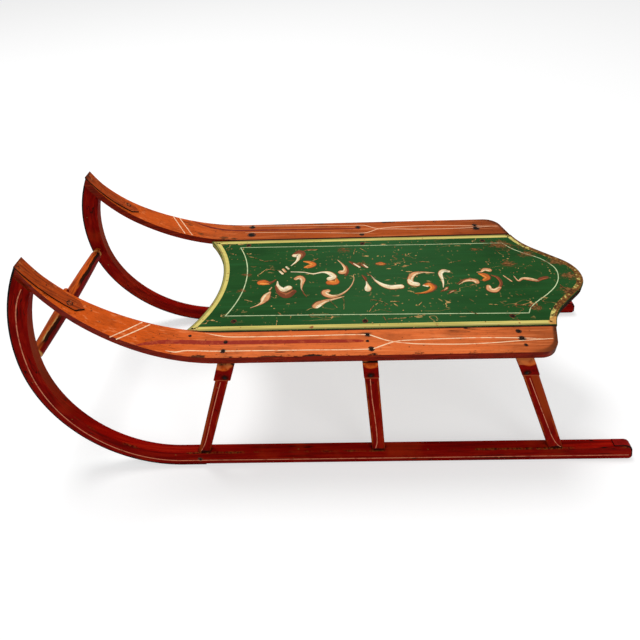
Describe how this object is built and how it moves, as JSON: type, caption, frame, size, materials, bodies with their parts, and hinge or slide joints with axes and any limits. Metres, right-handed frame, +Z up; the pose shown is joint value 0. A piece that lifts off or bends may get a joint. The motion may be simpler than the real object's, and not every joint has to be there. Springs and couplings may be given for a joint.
{
  "type": "bow-runner child's snow sled",
  "caption": "Low wooden snow sled: painted deck board between bent side rails, on benches and raked posts over two bow runners joined by a turned crossbar.",
  "frame": {"origin": "on the floor, below the middle of the bounding box", "axes": "+X forward towards the raised tips, +Y to the rider's left, +Z up"},
  "size_m": [0.97, 0.3848, 0.3635],
  "materials": {
    "deck_paint": "worn green paint on board",
    "rail_paint": "worn orange paint on bent planks",
    "frame_paint": "worn dark red paint",
    "bar_paint": "worn orange and dark paint",
    "iron": "blackened flat iron, painted over at the tips"
  },
  "bodies": {
    "root": {"deck_board": "deck_paint", "rail_left": "rail_paint", "rail_right": "rail_paint", "runner_left": "frame_paint", "runner_right": "frame_paint", "bow_iron_left": "iron", "bow_iron_right": "iron", "runner_shoe_left": "iron", "runner_shoe_right": "iron", "bench_front": "frame_paint", "bench_middle": "frame_paint", "bench_rear": "frame_paint", "post_front_left": "frame_paint", "post_front_right": "frame_paint", "post_middle_left": "frame_paint", "post_middle_right": "frame_paint", "post_rear_left": "frame_paint", "post_rear_right": "frame_paint", "crossbar": "bar_paint", "tow_peg": "bar_paint"}
  },
  "joints": []
}
